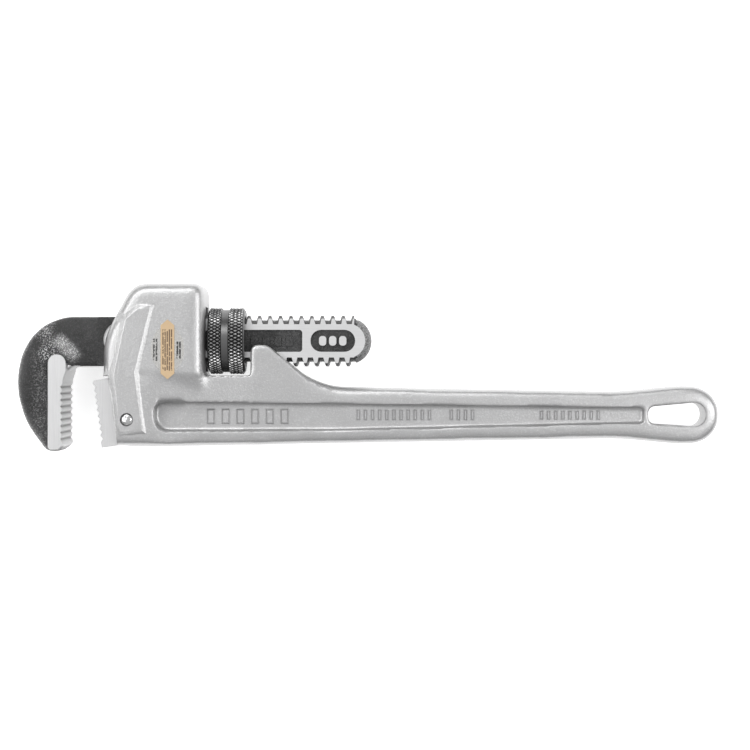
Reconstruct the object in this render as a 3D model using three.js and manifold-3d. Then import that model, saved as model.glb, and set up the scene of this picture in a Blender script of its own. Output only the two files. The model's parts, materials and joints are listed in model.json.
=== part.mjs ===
// A straight pipe wrench with a cast handle, a forged hook jaw on a threaded shank, a knurled
// adjusting nut and a pinned heel jaw. It lies on its side, and sizes are in millimetres.
//
// +X runs from the jaws to the end of the handle, +Y from the handle towards the top of the
// housing, and +Z is the thickness. While the pieces are made, the nut's centre is at 0, 0, 0 on
// the shank's axis; the finished group is then lifted onto the ground.

import * as THREE from 'three';
import * as BufferGeometryUtils from 'three/addons/utils/BufferGeometryUtils.js';
import Module from 'manifold-3d';

const wasm = await Module();
wasm.setup();

// ---------------------------------------------------------------------------------------------
// Driving dimensions

// shank and its thread
const threadPitch = 4.6;
const threadCrestRadius = 11.2;
const threadDepth = 2.07;
const threadCrestWidth = 1.2;
const threadFlankWidth = 0.63;
const threadPhaseX = 8.72; // a crest passes straight above the axis here
const threadStartX = -22;
const shankThickness = 11;
const shankTipX = 62.6;
const shankNoseStep = 0.9; // the plain nose is this much smaller than the crests
const shankNoseFlatRadius = 7.5;
const neckThickness = 12.6;
const neckTopStep = 0.7; // the neck stays this far inside the crests, above and below
const neckBottomStep = 0.4;
const milledEndX = -54.6; // round end of the milled flats
const milledEndRadius = 8;
const recessDepth = 0.9;
const recessHalfHeight = 4.8;
const recessRunX = [-10, 32.3];
const recessTipX = [35.9, 55.4];
const recessCornerRadius = 1.3;

// hook jaw
const hookReachX = -91.5; // back of the hook
const hookFaceX = -71; // tips of the hook's teeth
const hookToeY = -48.1;
const hookHeadThickness = 26;
const jawWidth = 28;
const toothPitch = 2.81;
const toothDepth = 1;
const hookTeethTopY = -18.75;
const hookToothCount = 9;
const throatRadius = 5.6;

// motion
const jawCloseTravel = 11;
const rockAngle = THREE.MathUtils.degToRad(2);

// adjusting nut
const nutLeftX = -8.7;
const nutRightX = 7.3;
const nutWall = 3.4; // over the thread's crests
const nutGrooveX = [-2.7, 0.3];
const nutGrooveDepth = 0.9;
const nutChamfer = 1.1;
const threadRadialClearance = 0.2;
const threadFlankClearance = 0.15;

// housing
const housingWidth = 34.4;
const bossHeight = 0.8; // raised panel round the heel jaw, on both cheeks
const housingMouthX = -53.5;
const housingRoof = 3.1;
const windowGapLeft = 1.1;
const windowGapRight = 2.6;
const nutFloorGap = 0.6;
const slotSideClearance = 0.5;
const slotEndClearance = 0.4;

// handle
const handleEndX = 214.6;
const handleThickness = 22; // at the fork
const handleEndThickness = 17;
const handleDepth = 25.4; // height of the beam at its end
const handleWaistDepth = 20.4;
const handleForkDepth = 24.4;
const postRiseY = 13.4; // how far the fork stands above the window's floor
const beamDropY = 17.2; // from the window's floor to the middle of the beam
const channelDepth = 2.6;

// heel jaw
const heelTiltAngle = THREE.MathUtils.degToRad(7.8);
const heelTopX = -58.1;
const heelTopY = -17.3;
const heelHeight = 29.4;
const heelBlockDepth = 6.9;
const heelToothCount = 9;
const tongueThickness = 13;
const tongueDepth = 12.5;
const seatGap = 0.3;
const pinRadius = 2.8;
const pinClearance = 0.05;
const pinInset = 0.4;

// springs
const leafThickness = 0.8;
const leafWidth = 8;
const leafBow = 1.1;
const leafSpanX = [-46, -14];
const leafGap = 0.25; // over the thread's crests
const coilRadius = 3;
const coilWireRadius = 0.5;
const coilTurns = 5;
const pocketDepth = 7;
const rivetRadius = 1.1;
const rivetHeadRadius = 1.9;
const rivetHeadHeight = 0.5;

// label
const labelThickness = 0.12;
const labelPanelThickness = 0.2;
const labelCentre = [-25.3, -3.9];
const labelOvalSize = [14.4, 20.6];
const labelPanelSize = [5.9, 25.8];

// ---------------------------------------------------------------------------------------------
// Derived places

const rockLift = (x) => Math.sin(rockAngle) * Math.abs(x);
const shankHalf = shankThickness / 2;
const threadRootRadius = threadCrestRadius - threadDepth;
const shankNoseRadius = threadCrestRadius - shankNoseStep;
const neckTopY = threadCrestRadius - neckTopStep;
const neckBottomY = neckBottomStep - threadCrestRadius;
const nutRadius = threadCrestRadius + nutWall;
const slotHalfWidth = Math.max(neckThickness, shankThickness) / 2 + slotSideClearance;
const forkHalfWidth = shankHalf + slotSideClearance;
const leafTopY = threadCrestRadius + leafGap + leafThickness;
const leafMiddleX = (leafSpanX[0] + leafSpanX[1]) / 2;
const leafMiddleTopY = leafTopY + leafBow;
const slotTopY = Math.max(
  leafTopY + rockLift(leafSpanX[0]),
  leafMiddleTopY + rockLift(leafMiddleX),
  threadCrestRadius + rockLift(housingMouthX),
) + slotEndClearance;
const slotFloorY = -threadCrestRadius - rockLift(housingMouthX) - slotEndClearance;
const pocketTopY = slotTopY + pocketDepth;
const housingTopY = pocketTopY + housingRoof;
const windowFloorY = -nutRadius - nutFloorGap;
const housingRightX = nutLeftX - windowGapLeft;
const postLeftX = nutRightX + windowGapRight;
const postTopY = windowFloorY + postRiseY;
const beamY = windowFloorY - beamDropY;
const handleFootY = beamY - 13.4;
const housingHalf = housingWidth / 2;
const cheekHalf = housingHalf + bossHeight;
const mouthLedgeY = heelTopY + 0.9;

// ---------------------------------------------------------------------------------------------
// Shape helpers

const arcStep = THREE.MathUtils.degToRad(15);

// A closed outline from corners [x, y, radius]; each radius is laid in as an arc.
function outline(corners, step = arcStep) {
  const points = [];
  corners.forEach(([x, y, radius = 0], i) => {
    const corner = new THREE.Vector2(x, y);
    if (radius === 0) {
      points.push(corner);
      return;
    }
    const [px, py] = corners[(i + corners.length - 1) % corners.length];
    const [nx, ny] = corners[(i + 1) % corners.length];
    const back = new THREE.Vector2(px - x, py - y).normalize();
    const ahead = new THREE.Vector2(nx - x, ny - y).normalize();
    const half = Math.acos(THREE.MathUtils.clamp(back.dot(ahead), -1, 1)) / 2;
    const middle = back.clone().add(ahead).normalize();
    const centre = corner.clone().addScaledVector(middle, radius / Math.sin(half));
    const first = corner.clone().addScaledVector(back, radius / Math.tan(half)).sub(centre);
    const turn = (Math.PI - 2 * half) * Math.sign(back.cross(ahead)) * -1;
    const pieces = Math.max(1, Math.ceil(Math.abs(turn) / step));
    for (let k = 0; k <= pieces; k += 1) {
      const spoke = first.clone().rotateAround(new THREE.Vector2(), (turn * k) / pieces);
      points.push(spoke.add(centre));
    }
  });
  return new THREE.Shape(points);
}

function oval(centreX, centreY, radiusX, radiusY, pieces = 24) {
  const points = [];
  for (let k = 0; k < pieces; k += 1) {
    const angle = (2 * Math.PI * k) / pieces;
    const x = centreX + radiusX * Math.cos(angle);
    const y = centreY + radiusY * Math.sin(angle);
    points.push(new THREE.Vector2(x, y));
  }
  return new THREE.Shape(points);
}

function solid(geometry) {
  const bare = geometry.clone();
  bare.deleteAttribute('normal');
  bare.deleteAttribute('uv');
  const merged = BufferGeometryUtils.mergeVertices(bare, 1e-4);
  return new wasm.Manifold(new wasm.Mesh({
    numProp: 3,
    vertProperties: new Float32Array(merged.attributes.position.array),
    triVerts: new Uint32Array(merged.index.array),
  }));
}

// A plate of an outline, centred on Z = 0, its edges bevelled inwards.
function plate(shape, thickness, bevel = 0, bevelRise = bevel, segments = 2) {
  const geometry = new THREE.ExtrudeGeometry(shape, {
    depth: thickness - 2 * bevelRise,
    bevelEnabled: bevel > 0,
    bevelSize: bevel,
    bevelOffset: -bevel,
    bevelThickness: bevelRise,
    bevelSegments: segments,
    curveSegments: 1,
    steps: 1,
  });
  geometry.translate(0, 0, bevelRise - thickness / 2);
  return geometry;
}

function box(x0, x1, y0, y1, z0, z1) {
  const geometry = new THREE.BoxGeometry(x1 - x0, y1 - y0, z1 - z0);
  geometry.translate((x0 + x1) / 2, (y0 + y1) / 2, (z0 + z1) / 2);
  return solid(geometry);
}

function postAlongZ(x, y, radius, length, pieces = 24) {
  const geometry = new THREE.CylinderGeometry(radius, radius, length, pieces);
  geometry.rotateX(Math.PI / 2);
  geometry.translate(x, y, 0);
  return geometry;
}

function postAlongY(x, y0, y1, radius, pieces = 20) {
  const geometry = new THREE.CylinderGeometry(radius, radius, y1 - y0, pieces);
  geometry.translate(x, (y0 + y1) / 2, 0);
  return geometry;
}

// A shape turned about the X axis from [x, radius] points that start and end on the axis.
function turnedAboutX(profile, pieces) {
  const geometry = new THREE.LatheGeometry(profile.map(([x, r]) => new THREE.Vector2(r, x)), pieces);
  geometry.rotateZ(-Math.PI / 2);
  return geometry;
}

function both(cut) {
  return cut.add(cut.mirror([0, 0, 1]));
}

function toMesh(name, body, colour, roughness, metalness) {
  const result = body.getMesh();
  const geometry = new THREE.BufferGeometry();
  const positions = new Float32Array(result.vertProperties);
  geometry.setAttribute('position', new THREE.BufferAttribute(positions, 3));
  geometry.setIndex(new THREE.BufferAttribute(new Uint32Array(result.triVerts), 1));
  geometry.computeVertexNormals();
  const material = new THREE.MeshStandardMaterial({ color: colour, roughness, metalness });
  const mesh = new THREE.Mesh(geometry, material);
  mesh.name = name;
  return mesh;
}

// ---------------------------------------------------------------------------------------------
// Single-start right-hand thread

// One round threaded rod from fromX to toX. grow widens it all over, for the cutter of the nut.
function threadedRod(fromX, toX, radial = 0, flank = 0) {
  const around = 36;
  const halfCrest = threadCrestWidth / 2 + flank;
  const halfBase = halfCrest + threadFlankWidth;
  const profile = [
    [-halfBase, threadRootRadius + radial],
    [-halfCrest, threadCrestRadius + radial],
    [halfCrest, threadCrestRadius + radial],
    [halfBase, threadRootRadius + radial],
  ];
  const firstTurn = Math.floor((fromX - threadPhaseX) / threadPitch) - 2;
  const lastTurn = Math.ceil((toX - threadPhaseX) / threadPitch) + 2;
  const rows = (lastTurn - firstTurn) * profile.length;
  const positions = [];
  for (let column = 0; column < around; column += 1) {
    const angle = (2 * Math.PI * column) / around;
    for (let row = 0; row < rows; row += 1) {
      const turn = firstTurn + Math.floor(row / profile.length);
      const [offset, radius] = profile[row % profile.length];
      const x = threadPhaseX + threadPitch * (turn + column / around) + offset;
      positions.push(x, radius * Math.cos(angle), radius * Math.sin(angle));
    }
  }
  const index = [];
  const shift = profile.length;
  for (let column = 0; column < around; column += 1) {
    const last = column === around - 1;
    const next = last ? 0 : column + 1;
    const lift = last ? shift : 0;
    for (let row = 0; row + 1 < rows - (last ? shift : 0); row += 1) {
      const a = column * rows + row;
      const b = next * rows + row + lift;
      index.push(a, b, a + 1, b, b + 1, a + 1);
    }
  }
  const firstX = threadPhaseX + threadPitch * (firstTurn - 1);
  closeEnd(positions, index, endLoop(around, rows, shift, 0), firstX, true);
  closeEnd(
    positions,
    index,
    endLoop(around, rows, shift, rows - 1),
    threadPhaseX + threadPitch * (lastTurn + 1),
    false,
  );
  const geometry = new THREE.BufferGeometry();
  geometry.setAttribute('position', new THREE.BufferAttribute(new Float32Array(positions), 3));
  geometry.setIndex(index);
  return solid(geometry).intersect(box(fromX, toX, -20, 20, -20, 20));
}

// The open rim at one end of the rod: once round, then back along one pitch of the seam.
function endLoop(around, rows, shift, row) {
  const loop = [];
  for (let column = 0; column < around; column += 1) {
    loop.push(column * rows + row);
  }
  if (row === 0) {
    for (let step = shift; step > 0; step -= 1) {
      loop.push(step);
    }
  } else {
    for (let step = 1; step <= shift; step += 1) {
      loop.push((around - 1) * rows + row - step);
    }
  }
  return loop;
}

function closeEnd(positions, index, loop, x, atStart) {
  const centre = positions.length / 3;
  positions.push(x, 0, 0);
  loop.forEach((vertex, i) => {
    const following = loop[(i + 1) % loop.length];
    if (atStart) {
      index.push(centre, following, vertex);
    } else {
      index.push(centre, vertex, following);
    }
  });
}

// ---------------------------------------------------------------------------------------------
// Teeth: a row of V notches cut across a jaw face

// The notches start at (x, y) and run down the face, which leans by tilt; toward is the side that
// the material is on, -1 for a jaw behind the face and +1 for one in front of it.
function toothCutter(x, y, tilt, count, toward) {
  const corners = [];
  const overhang = 3;
  for (let k = 0; k < count; k += 1) {
    corners.push([0, -k * toothPitch]);
    corners.push([toward * toothDepth, -(k + 0.5) * toothPitch]);
  }
  corners.push([0, -count * toothPitch]);
  corners.push([-toward * overhang, -count * toothPitch]);
  corners.push([-toward * overhang, 0]);
  const geometry = plate(outline(corners), jawWidth + 4);
  geometry.rotateZ(tilt);
  geometry.translate(x, y, 0);
  return solid(geometry);
}

// ---------------------------------------------------------------------------------------------
// Hook jaw: hook, neck, shank and thread in one forging

function hookOutline(rightX) {
  return outline([
    [rightX, neckTopY],
    [-74.9, neckTopY, 12],
    [-88.5, 0.3, 15],
    [hookReachX - 0.9, -19.6, 30],
    [-87.9, -35.5, 25],
    [-78.8, hookToeY, 4],
    [hookFaceX - 2.5, hookToeY],
    [hookFaceX, hookToeY + 2.6],
    [hookFaceX, neckBottomY - 0.4, throatRadius],
    [rightX, neckBottomY],
  ]);
}

function makeHookJaw() {
  const neck = solid(plate(hookOutline(threadStartX), neckThickness));
  const headRightX = housingMouthX - jawCloseTravel - 1.6;
  const head = solid(plate(hookOutline(threadStartX), hookHeadThickness, 3, 4))
    .intersect(box(hookReachX - 5, headRightX, -60, 20, -20, 20));
  const strip = solid(plate(outline([
    [-77.5, -6, 3.9],
    [-77.5, hookToeY + 0.8, 1.5],
    [hookFaceX - 2.2, hookToeY + 0.8],
    [hookFaceX, hookToeY + 3],
    [hookFaceX, -17.3],
    [-69.7, -13.2],
    [-69.7, -6, 3.9],
  ]), jawWidth));
  let hook = neck.add(head).add(strip);
  hook = hook.subtract(toothCutter(hookFaceX, hookTeethTopY, 0, hookToothCount, -1));

  const reach = shankTipX - shankNoseRadius;
  const thread = threadedRod(threadStartX - 1, shankTipX);
  const nose = solid(new THREE.LatheGeometry([
    [0, -shankHalf - 0.01],
    [shankNoseFlatRadius, -shankHalf - 0.01],
    [shankNoseRadius, -0.8],
    [shankNoseRadius, 0.8],
    [shankNoseFlatRadius, shankHalf + 0.01],
    [0, shankHalf + 0.01],
  ].map(([r, z]) => new THREE.Vector2(r, z)), 40).rotateX(Math.PI / 2).translate(reach, 0, 0));
  const flats = box(threadStartX - 1, reach + 2.7, -20, 20, -shankHalf, shankHalf);
  hook = hook.add(thread.intersect(flats.add(nose)));

  const centreX = milledEndX + milledEndRadius;
  const cutter = 10;
  const mill = box(centreX, shankTipX + 1, -20, 20, shankHalf, shankHalf + cutter)
    .add(solid(new THREE.CylinderGeometry(milledEndRadius, milledEndRadius, cutter, 32)
      .rotateX(Math.PI / 2).translate(centreX, 0.5, shankHalf + cutter / 2)));
  hook = hook.subtract(both(mill));

  const run = recess(recessRunX, recessCornerRadius);
  const tip = recess(recessTipX, recessHalfHeight - 0.1);
  return hook.subtract(both(run.add(tip)));
}

function recess([fromX, toX], radius) {
  const shape = outline([
    [fromX, -recessHalfHeight, radius],
    [toX, -recessHalfHeight, radius],
    [toX, recessHalfHeight, radius],
    [fromX, recessHalfHeight, radius],
  ], 2 * arcStep);
  return solid(plate(shape, 2 * recessDepth).translate(0, 0, shankHalf));
}

// ---------------------------------------------------------------------------------------------
// Adjusting nut

function makeNut() {
  const grooveRadius = nutRadius - nutGrooveDepth;
  const blank = solid(turnedAboutX([
    [nutLeftX, 0],
    [nutLeftX, nutRadius - nutChamfer],
    [nutLeftX + nutChamfer / 2, nutRadius],
    [nutGrooveX[0], nutRadius],
    [nutGrooveX[0] + 0.2, grooveRadius],
    [nutGrooveX[1] - 0.2, grooveRadius],
    [nutGrooveX[1], nutRadius],
    [nutRightX - nutChamfer, nutRadius],
    [nutRightX, nutRadius - nutChamfer],
    [nutRightX, 0],
  ], 48));
  const tap = threadedRod(nutLeftX - 1, nutRightX + 1, threadRadialClearance, threadFlankClearance);
  return blank.subtract(tap);
}

// ---------------------------------------------------------------------------------------------
// Handle casting

// Half thickness of the beam shrinks evenly from the fork to the end of the handle.
function taper(geometry) {
  const place = geometry.attributes.position;
  for (let i = 0; i < place.count; i += 1) {
    const share = THREE.MathUtils.clamp((place.getX(i) - postLeftX) / (handleEndX - postLeftX), 0, 1);
    place.setZ(i, place.getZ(i) * THREE.MathUtils.lerp(1, handleEndThickness / handleThickness, share));
  }
  return geometry;
}

function makeHandle() {
  const waistX = handleEndX - 44;
  const forkEndX = postLeftX + 42;
  const eyeX = handleEndX - 18;
  const endHalf = handleDepth / 2;
  const waistHalf = handleWaistDepth / 2;
  const forkHalf = handleForkDepth / 2;
  const beam = solid(taper(plate(outline([
    [housingMouthX + 8.5, handleFootY, 2],
    [-30, handleFootY - 0.2, 20],
    [forkEndX, beamY - forkHalf],
    [waistX, beamY - waistHalf, 80],
    [eyeX, beamY - endHalf, 40],
    [handleEndX, beamY - endHalf, endHalf - 0.1],
    [handleEndX, beamY + endHalf, endHalf - 0.1],
    [eyeX, beamY + endHalf, 40],
    [waistX, beamY + waistHalf, 80],
    [forkEndX, beamY + forkHalf],
    [postLeftX + 29, beamY + forkHalf + 0.3, 31],
    [postLeftX + 7.4, postTopY, 5],
    [postLeftX, postTopY, 2.4],
    [postLeftX, windowFloorY, 1.2],
    [housingRightX - 4, windowFloorY],
    [housingMouthX + 8.5, windowFloorY],
  ]), handleThickness, 1.2, 1.6)));

  const housing = solid(plate(outline([
    [housingMouthX + 7, handleFootY + 0.4, 3.5],
    [housingMouthX + 20, handleFootY + 0.4, 6],
    [housingMouthX + 24.5, beamY + 7, 8],
    [housingRightX, beamY + 11.8, 6],
    [housingRightX, housingTopY, 4.2],
    [housingMouthX + 12.9, housingTopY, 9],
    [housingMouthX, 1, 24],
    [housingMouthX, mouthLedgeY],
  ]), housingWidth, 3.2, 4, 3));

  const boss = solid(plate(outline([
    [housingMouthX + 3.9, -14.2],
    [housingMouthX + 7.6, handleFootY + 4.5],
    [housingMouthX + 18, handleFootY + 5.3],
    [housingMouthX + 15, beamY + 18.2],
    [housingMouthX + 21.8, 15.2],
    [housingMouthX + 14.4, 15.2],
    [housingMouthX + 10.4, 11.6, 3],
  ]), 2 * cheekHalf, 0.8, bossHeight, 1));

  let casting = beam.add(housing).add(boss);

  const past = 5;
  const mouthX = housingMouthX - past;
  const windowX = housingRightX + past;
  const forkX = postLeftX - past;
  const aboveY = housingTopY + past;
  const outsideZ = cheekHalf + past;
  casting = casting
    .subtract(box(mouthX, windowX, slotFloorY, slotTopY, -slotHalfWidth, slotHalfWidth))
    .subtract(box(housingRightX, postLeftX, windowFloorY, aboveY, -outsideZ, outsideZ))
    .subtract(box(forkX, handleEndX, windowFloorY, postTopY + past, -forkHalfWidth, forkHalfWidth))
    .subtract(solid(postAlongY(leafMiddleX, 0, pocketTopY, pocketRadius())))
    .subtract(heelSeat())
    .subtract(solid(postAlongZ(...pinPlace(), pinRadius + pinClearance, 2 * cheekHalf + 2)));

  const channelShape = outline([
    [-31.4, beamY - 7, 6],
    [-31.4, beamY + 5.9, 4],
    [handleEndX - 34.5, beamY + 3.3, 1.5],
    [handleEndX - 34.5, beamY - 3.5, 1.5],
    [forkEndX, beamY - 6.6],
  ]);
  const channelRise = 2 * channelDepth;
  const channel = taper(plate(channelShape, channelRise, 1.2, 2).translate(0, 0, handleThickness / 2));
  const hole = outline([
    [handleEndX - 31.5, beamY - 3.7, 3],
    [handleEndX - 6.4, beamY - 5.3, 5],
    [handleEndX - 6.4, beamY + 5.8, 5],
    [handleEndX - 31.5, beamY + 3.6, 3],
  ]);
  return casting
    .subtract(both(solid(channel)))
    .subtract(solid(plate(hole, handleThickness + 2)));
}

function pocketRadius() {
  const lean = Math.sin(rockAngle) * pocketTopY;
  return coilRadius + coilWireRadius + lean + 0.2;
}

// ---------------------------------------------------------------------------------------------
// Heel jaw, its seat in the casting and its pin

// Everything on the heel jaw is drawn upright, with the top of the toothed face at 0, 0, and then
// leaned and put in its place.
function heelPlaced(geometry) {
  geometry.rotateZ(heelTiltAngle);
  geometry.translate(heelTopX, heelTopY, 0);
  return solid(geometry);
}

const tongueTop = -3.2;
const tongueBottom = -heelHeight + 3.4;

function heelTongue(grow) {
  return plate(outline([
    [-1 + heelBlockDepth, tongueBottom - grow],
    [heelBlockDepth + tongueDepth + grow, tongueBottom - grow, 2.5],
    [heelBlockDepth + tongueDepth + grow, tongueTop + grow, 2.5],
    [-1 + heelBlockDepth, tongueTop + grow],
  ]), tongueThickness + 2 * grow);
}

function pinPlace() {
  const place = new THREE.Vector2(heelBlockDepth + 5.9, -18.8);
  place.rotateAround(new THREE.Vector2(), heelTiltAngle);
  return [place.x + heelTopX, place.y + heelTopY];
}

function heelSeat() {
  const block = plate(outline([
    [-20, -heelHeight - 20],
    [heelBlockDepth + seatGap, -heelHeight - 20],
    [heelBlockDepth + seatGap, 1 + seatGap],
    [-20, 1 + seatGap],
  ]), 60);
  return heelPlaced(block).add(heelPlaced(heelTongue(seatGap)));
}

function makeHeelJaw() {
  const block = heelPlaced(plate(outline([
    [0, -heelHeight],
    [heelBlockDepth - 0.4, -heelHeight],
    [heelBlockDepth, -heelHeight + 0.4],
    [heelBlockDepth, 0],
    [0.6, 0],
    [0, -0.6],
  ]), jawWidth));
  return block
    .add(heelPlaced(heelTongue(0)))
    .subtract(heelTeeth())
    .subtract(solid(postAlongZ(...pinPlace(), pinRadius + 2 * pinClearance, jawWidth)));
}

function heelTeeth() {
  const first = new THREE.Vector2(0, -1.6);
  first.rotateAround(new THREE.Vector2(), heelTiltAngle);
  return toothCutter(first.x + heelTopX, first.y + heelTopY, heelTiltAngle, heelToothCount, 1);
}

function makePin() {
  const length = 2 * (cheekHalf - pinInset);
  const crown = 0.7;
  const profile = [
    [0, -length / 2],
    [pinRadius - crown, -length / 2],
    [pinRadius, -length / 2 + crown],
    [pinRadius, length / 2 - crown],
    [pinRadius - crown, length / 2],
    [0, length / 2],
  ];
  const [x, y] = pinPlace();
  const geometry = new THREE.LatheGeometry(profile.map(([r, z]) => new THREE.Vector2(r, z)), 24);
  return solid(geometry.rotateX(Math.PI / 2).translate(x, y, 0));
}

// ---------------------------------------------------------------------------------------------
// Springs in the roof of the slot

// Height of the leaf's underside: it bows up between two ends that lie over the shank.
function leafUnderside(x) {
  const share = (x - leafSpanX[0]) / (leafSpanX[1] - leafSpanX[0]);
  return threadCrestRadius + leafGap + leafBow * Math.sin(Math.PI * share) ** 2;
}

function makeLeaf() {
  const pieces = 16;
  const under = [];
  const over = [];
  for (let k = 0; k <= pieces; k += 1) {
    const x = THREE.MathUtils.lerp(leafSpanX[0], leafSpanX[1], k / pieces);
    under.push([x, leafUnderside(x)]);
    over.unshift([x, leafUnderside(x) + leafThickness]);
  }
  const strip = solid(plate(outline([...under, ...over]), leafWidth));
  return strip.subtract(solid(postAlongY(leafMiddleX, 0, pocketTopY, rivetRadius + 0.1)));
}

function makeRivet() {
  const under = leafUnderside(leafMiddleX);
  const over = under + leafThickness;
  const gap = 0.05;
  const profile = [
    [0, under - gap - rivetHeadHeight],
    [rivetHeadRadius, under - gap - rivetHeadHeight],
    [rivetHeadRadius, under - gap],
    [rivetRadius, under - gap],
    [rivetRadius, over + gap],
    [rivetHeadRadius, over + gap],
    [rivetHeadRadius - 0.5, over + gap + rivetHeadHeight],
    [0, over + gap + rivetHeadHeight],
  ];
  const geometry = new THREE.LatheGeometry(profile.map(([r, y]) => new THREE.Vector2(r, y)), 20);
  return solid(geometry.translate(leafMiddleX, 0, 0));
}

class CoilCurve extends THREE.Curve {
  constructor(bottom, top) {
    super();
    this.bottom = bottom;
    this.top = top;
  }

  getPoint(t, target = new THREE.Vector3()) {
    const angle = 2 * Math.PI * coilTurns * t;
    const y = THREE.MathUtils.lerp(this.bottom, this.top, t);
    return target.set(leafMiddleX + coilRadius * Math.cos(angle), y, coilRadius * Math.sin(angle));
  }
}

function makeCoil() {
  const bottom = leafUnderside(leafMiddleX) + leafThickness + coilWireRadius + 0.15;
  const top = pocketTopY - rockLift(leafMiddleX) - coilWireRadius - 0.2;
  const wire = oval(0, 0, coilWireRadius, coilWireRadius, 8);
  return solid(new THREE.ExtrudeGeometry(wire, {
    steps: coilTurns * 14,
    extrudePath: new CoilCurve(bottom, top),
    bevelEnabled: false,
  }));
}

// ---------------------------------------------------------------------------------------------
// Label: a clear oval film with a printed panel on it

function makeLabel() {
  const [x, y] = labelCentre;
  const film = solid(plate(oval(x, y, labelOvalSize[0] / 2, labelOvalSize[1] / 2), labelThickness)
    .translate(0, 0, labelThickness / 2));
  const halfWide = labelPanelSize[0] / 2;
  const halfTall = labelPanelSize[1] / 2;
  const shoulder = halfTall - halfWide * 0.85;
  const panel = solid(plate(outline([
    [x, y - halfTall],
    [x + halfWide, y - shoulder],
    [x + halfWide, y + shoulder],
    [x, y + halfTall],
    [x - halfWide, y + shoulder],
    [x - halfWide, y - shoulder],
  ]), labelPanelThickness).translate(0, 0, labelPanelThickness / 2));
  return film.add(panel).translate([0, 0, housingHalf + 0.02]);
}

// ---------------------------------------------------------------------------------------------
// Assembly

const wrench = new THREE.Group();
wrench.add(
  toMesh('handle', makeHandle(), '#b9bbbd', 0.42, 0.85),
  toMesh('hook_jaw', makeHookJaw(), '#3a3a3c', 0.45, 0.8),
  toMesh('heel_jaw', makeHeelJaw(), '#cfcfd0', 0.4, 0.9),
  toMesh('heel_jaw_pin', makePin(), '#c4c6c8', 0.18, 1),
  toMesh('adjusting_nut', makeNut(), '#2a2a2c', 0.4, 0.85),
  toMesh('flat_spring', makeLeaf(), '#56585c', 0.4, 0.9),
  toMesh('coil_spring', makeCoil(), '#6a6c70', 0.35, 0.9),
  toMesh('spring_rivet', makeRivet(), '#8d8f92', 0.4, 0.9),
  toMesh('label', makeLabel(), '#dcbf93', 0.5, 0),
);

const extent = new THREE.Box3().setFromObject(wrench);
wrench.position.set(
  -(extent.min.x + extent.max.x) / 2,
  -(extent.min.y + extent.max.y) / 2,
  -extent.min.z,
);

export default wrench;
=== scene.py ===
# %% [markdown]
# # A straight pipe wrench in cast aluminium and forged steel
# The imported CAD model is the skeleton: it holds every real size, and the bodies that slide, rock
# and turn. This lesson builds the looks over it, piece by piece, and lets each piece ride on the
# body that it belongs to. Lengths in the cells are millimetres from the middle of the adjusting
# nut, on the shank's axis, because a wrench is easiest to measure from there.

# %% Load the skeleton
import json
import math

import bpy
import numpy as np
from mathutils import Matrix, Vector


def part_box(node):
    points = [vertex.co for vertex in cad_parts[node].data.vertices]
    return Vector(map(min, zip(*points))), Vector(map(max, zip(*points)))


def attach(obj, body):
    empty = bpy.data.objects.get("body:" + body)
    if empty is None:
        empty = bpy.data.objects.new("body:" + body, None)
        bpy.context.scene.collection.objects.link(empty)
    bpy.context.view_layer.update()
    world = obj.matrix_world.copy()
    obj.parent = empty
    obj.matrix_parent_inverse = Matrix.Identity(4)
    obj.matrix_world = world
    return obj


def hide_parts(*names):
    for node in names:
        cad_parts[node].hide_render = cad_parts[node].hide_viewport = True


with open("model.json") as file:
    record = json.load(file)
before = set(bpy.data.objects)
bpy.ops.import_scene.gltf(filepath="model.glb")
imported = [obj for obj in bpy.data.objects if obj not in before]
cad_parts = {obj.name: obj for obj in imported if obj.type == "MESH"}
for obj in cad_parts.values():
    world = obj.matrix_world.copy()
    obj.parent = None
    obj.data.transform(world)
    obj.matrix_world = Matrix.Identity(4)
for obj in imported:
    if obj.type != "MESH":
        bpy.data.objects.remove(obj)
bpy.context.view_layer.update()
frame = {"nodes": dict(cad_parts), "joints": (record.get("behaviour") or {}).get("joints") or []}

MM = 0.001
rock_joint = next(j for j in frame["joints"] if j["name"] == "jaw_rock")
shank_middle = Vector(rock_joint["pos_m"])


def at(x, y, z=0.0):
    """A point in metres from millimetres along, up and out from the middle of the shank."""
    return shank_middle + Vector((x, y, z)) * MM


print("nodes:", sorted(frame["nodes"]), "shank axis at", [round(c, 4) for c in shank_middle])

# %% [markdown]
# ## Hand tools for the mesh
# Most pieces start as a drawn outline: a row of extruded vertices, filled and then extruded into
# a plate. A plane merged to one point is a good pencil tip for that. Rounded corners come from
# the bevel tool on single vertices, whose offset is the length cut from each side of the corner.

# %% Select by place and draw outlines
def only(piece):
    """Makes one piece the selected and active one."""
    bpy.ops.object.select_all(action="DESELECT")
    piece.select_set(True)
    bpy.context.view_layer.objects.active = piece
    return piece


def open_all(piece):
    """Opens a piece in edit mode with all of it selected."""
    only(piece)
    bpy.ops.object.mode_set(mode="EDIT")
    bpy.ops.mesh.select_all(action="SELECT")


def points_of(piece):
    """All vertex places of a piece, in millimetres from the middle of the shank."""
    flat = np.empty(len(piece.data.vertices) * 3)
    piece.data.vertices.foreach_get("co", flat)
    return (flat.reshape(-1, 3) - np.array(shank_middle)) / MM


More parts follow.
